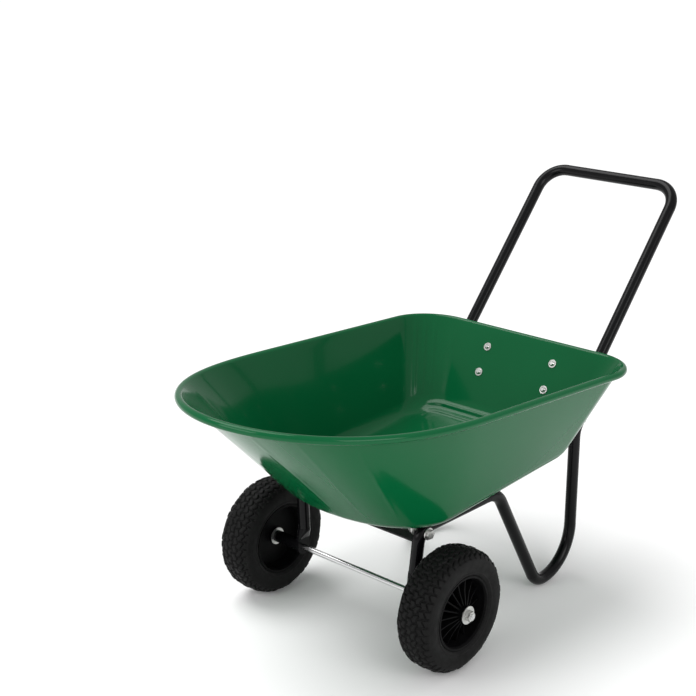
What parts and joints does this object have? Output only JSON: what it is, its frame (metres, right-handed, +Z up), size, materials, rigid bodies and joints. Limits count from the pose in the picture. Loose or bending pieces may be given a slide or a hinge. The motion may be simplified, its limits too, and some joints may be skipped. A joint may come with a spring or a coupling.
{
  "type": "two-wheeled tipping garden cart",
  "caption": "Two-wheeled tipping wheelbarrow with a green pressed steel tray, a bent black tube frame with a push handle, small wheels on one axle and a rear tray latch.",
  "frame": {"origin": "bottom centre of the cart's bounding box, on the ground", "axes": "+X forward, towards the tray's nose; +Y to the left; +Z up"},
  "size_m": [1.3234, 0.6282, 0.8463],
  "materials": {
    "green_paint": "gloss",
    "black_paint": "gloss",
    "black_rim": "satin",
    "zinc_plate": "satin",
    "axle_steel": "polished",
    "bush_plastic": "matte",
    "grip_plastic": "matte",
    "tyre_rubber": "matte"
  },
  "bodies": {
    "frame": {"left_side_tube": "black_paint", "right_side_tube": "black_paint", "handle": "black_paint", "catch_bar": "zinc_plate", "splice_bolts": "zinc_plate", "splice_nuts": "zinc_plate", "left_brace_rod": "black_paint", "right_brace_rod": "black_paint", "front_cross_bar": "black_paint", "axle": "axle_steel", "axle_spacers": "black_paint", "inner_hub_washers": "zinc_plate", "outer_hub_washers": "zinc_plate", "axle_nuts": "zinc_plate", "pivot_bolts": "zinc_plate", "pivot_washers": "zinc_plate", "pivot_spacers": "zinc_plate", "pivot_nuts": "zinc_plate"},
    "tray": {"tray_shell": "green_paint", "left_pivot_bracket": "zinc_plate", "right_pivot_bracket": "zinc_plate", "pivot_bracket_bolts": "zinc_plate", "pivot_bracket_nuts": "zinc_plate", "latch_bracket": "zinc_plate", "latch_bracket_bolts": "zinc_plate", "latch_bracket_washers": "zinc_plate", "latch_bracket_nuts": "zinc_plate", "latch_bolt": "zinc_plate", "latch_nut": "zinc_plate"},
    "latch": {"latch_lever": "zinc_plate", "latch_grip": "grip_plastic", "latch_rivet": "zinc_plate"},
    "left_wheel": {"left_tyre": "tyre_rubber", "left_rim": "black_rim", "left_bushes": "bush_plastic"},
    "right_wheel": {"right_tyre": "tyre_rubber", "right_rim": "black_rim", "right_bushes": "bush_plastic"}
  },
  "joints": [
    {"name": "tray_tip", "type": "hinge", "parent": "frame", "child": "tray", "pos_m": [0.2435, 0, 0.263], "axis": [0, 1, 0], "range_deg": [0, 64]},
    {"name": "latch_lift", "type": "hinge", "parent": "tray", "child": "latch", "pos_m": [-0.28272, 0, 0.393], "axis": [0, 1, 0], "range_deg": [0, 30], "stiffness_Nm_per_rad": 0.4, "springref_deg": -20.05},
    {"name": "left_wheel_spin", "type": "hinge", "parent": "frame", "child": "left_wheel", "pos_m": [0.2605, 0.2527, 0.13], "axis": [0, 1, 0], "continuous": true},
    {"name": "right_wheel_spin", "type": "hinge", "parent": "frame", "child": "right_wheel", "pos_m": [0.2605, -0.2527, 0.13], "axis": [0, 1, 0], "continuous": true}
  ]
}
